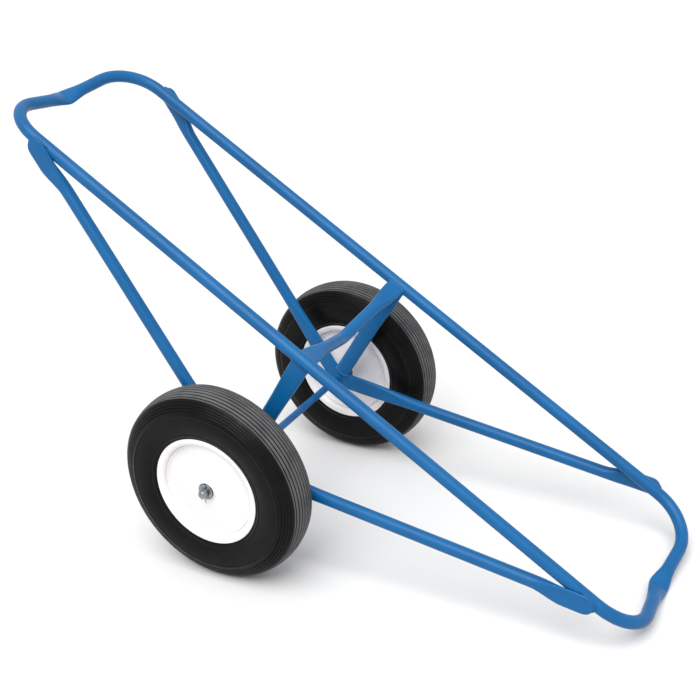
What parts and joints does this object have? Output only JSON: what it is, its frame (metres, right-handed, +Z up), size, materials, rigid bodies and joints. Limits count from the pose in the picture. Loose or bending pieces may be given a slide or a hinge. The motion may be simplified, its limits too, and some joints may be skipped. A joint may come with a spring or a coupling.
{
  "type": "carpet roll dolly",
  "caption": "Tube dolly: a long welded cradle frame of bent blue tube over an axle with pneumatic wheels on white steel rims, for moving rolls and long loads.",
  "frame": {"origin": "on the ground under the middle of the whole part, which stands parked on both tyres and the kink of its front end bar", "axes": "+X level, towards the front end bar that rests on the ground; +Y along the axle towards the left wheel; +Z up. The loop of the rails slopes down towards +X by 33 degrees"},
  "size_m": [1.3512, 0.674, 0.8879],
  "materials": {
    "frame_blue": "semi-gloss blue paint",
    "rim_white": "semi-gloss white paint",
    "axle_steel": "steel rod, blue paint between the frame tubes and bare at the ends",
    "zinc_steel": "zinc plate",
    "bearing_steel": "ground steel",
    "tyre_rubber": "black rubber, greyer on the ribs of the tread",
    "tube_rubber": "matte butyl",
    "valve_brass": "turned brass under rubber",
    "black_plastic": "satin black"
  },
  "bodies": {
    "frame": {"front_loop_tube": "frame_blue", "rear_loop_tube": "frame_blue", "left_lower_tube": "frame_blue", "right_lower_tube": "frame_blue", "left_upright": "frame_blue", "right_upright": "frame_blue", "cradle_tube": "frame_blue", "axle": "axle_steel", "left_spacer": "black_plastic", "left_inner_washer": "zinc_steel", "left_outer_washer": "zinc_steel", "left_split_pin": "zinc_steel", "right_spacer": "black_plastic", "right_inner_washer": "zinc_steel", "right_outer_washer": "zinc_steel", "right_split_pin": "zinc_steel"},
    "left_wheel": {"left_tyre": "tyre_rubber", "left_inner_tube": "tube_rubber", "left_rim_barrel": "rim_white", "left_outer_disc": "rim_white", "left_inner_disc": "rim_white", "left_hub": "rim_white", "left_outer_bearing": "bearing_steel", "left_inner_bearing": "bearing_steel", "left_valve_stem": "valve_brass", "left_valve_cap": "black_plastic"},
    "right_wheel": {"right_tyre": "tyre_rubber", "right_inner_tube": "tube_rubber", "right_rim_barrel": "rim_white", "right_outer_disc": "rim_white", "right_inner_disc": "rim_white", "right_hub": "rim_white", "right_outer_bearing": "bearing_steel", "right_inner_bearing": "bearing_steel", "right_valve_stem": "valve_brass", "right_valve_cap": "black_plastic"}
  },
  "joints": [
    {"name": "left_wheel_spin", "type": "hinge", "parent": "frame", "child": "left_wheel", "pos_m": [-0.1526, 0.2818, 0.2032], "axis": [0, 1, 0], "continuous": true},
    {"name": "right_wheel_spin", "type": "hinge", "parent": "frame", "child": "right_wheel", "pos_m": [-0.1526, -0.2818, 0.2032], "axis": [0, 1, 0], "continuous": true}
  ]
}
